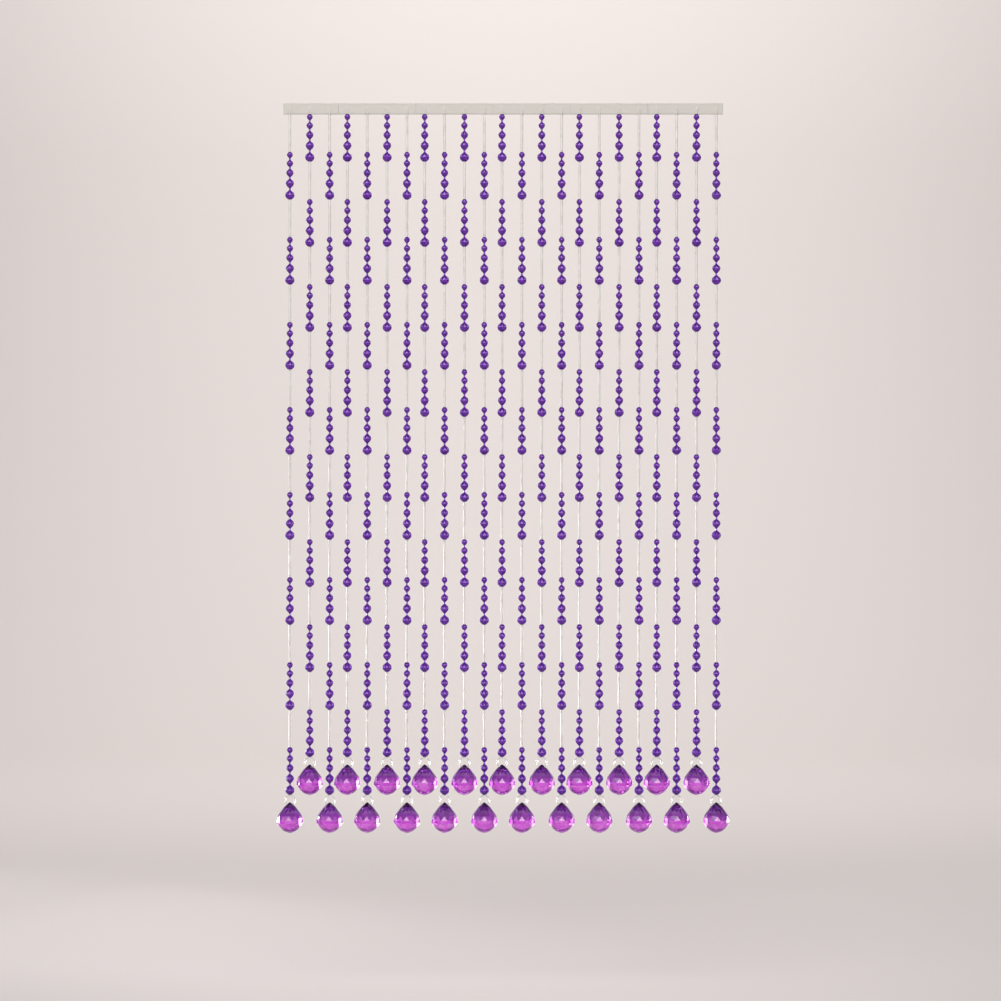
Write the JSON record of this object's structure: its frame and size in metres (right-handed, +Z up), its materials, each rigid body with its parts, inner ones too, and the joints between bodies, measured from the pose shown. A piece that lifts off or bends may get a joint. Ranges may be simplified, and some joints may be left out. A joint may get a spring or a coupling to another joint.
{
  "type": "bead curtain",
  "caption": "Doorway bead curtain: short and long strings of faceted violet beads hang from a narrow tape, each ending in a clear ring and a faceted drop pendant.",
  "frame": {"origin": "middle of the heading tape's top edge", "axes": "+Z up along the strings, +X along the tape to the viewer's right, -Y towards the viewer in front"},
  "size_m": [0.8248, 0.048, 1.3291],
  "materials": {
    "bead": "glossy, faceted, deep violet",
    "pendant": "glossy, faceted, see-through purple",
    "ring": "clear, glossy",
    "cord": "satin braid, cream white",
    "heading_tape": "woven, matt, cream"
  },
  "bodies": {
    "root": {"string_set_1": "bead", "string_set_2": "bead", "string_set_3": "bead", "string_set_4": "bead", "string_set_5": "bead", "string_set_6": "bead", "ring_01": "ring", "ring_02": "ring", "ring_03": "ring", "ring_04": "ring", "ring_05": "ring", "ring_06": "ring", "ring_07": "ring", "ring_08": "ring", "ring_09": "ring", "ring_10": "ring", "ring_11": "ring", "ring_12": "ring", "ring_13": "ring", "ring_14": "ring", "ring_15": "ring", "ring_16": "ring", "ring_17": "ring", "ring_18": "ring", "ring_19": "ring", "ring_20": "ring", "ring_21": "ring", "ring_22": "ring", "ring_23": "ring", "pendant_01": "pendant", "pendant_02": "pendant", "pendant_03": "pendant", "pendant_04": "pendant", "pendant_05": "pendant", "pendant_06": "pendant", "pendant_07": "pendant", "pendant_08": "pendant", "pendant_09": "pendant", "pendant_10": "pendant", "pendant_11": "pendant", "pendant_12": "pendant", "pendant_13": "pendant", "pendant_14": "pendant", "pendant_15": "pendant", "pendant_16": "pendant", "pendant_17": "pendant", "pendant_18": "pendant", "pendant_19": "pendant", "pendant_20": "pendant", "pendant_21": "pendant", "pendant_22": "pendant", "pendant_23": "pendant"}
  },
  "joints": []
}
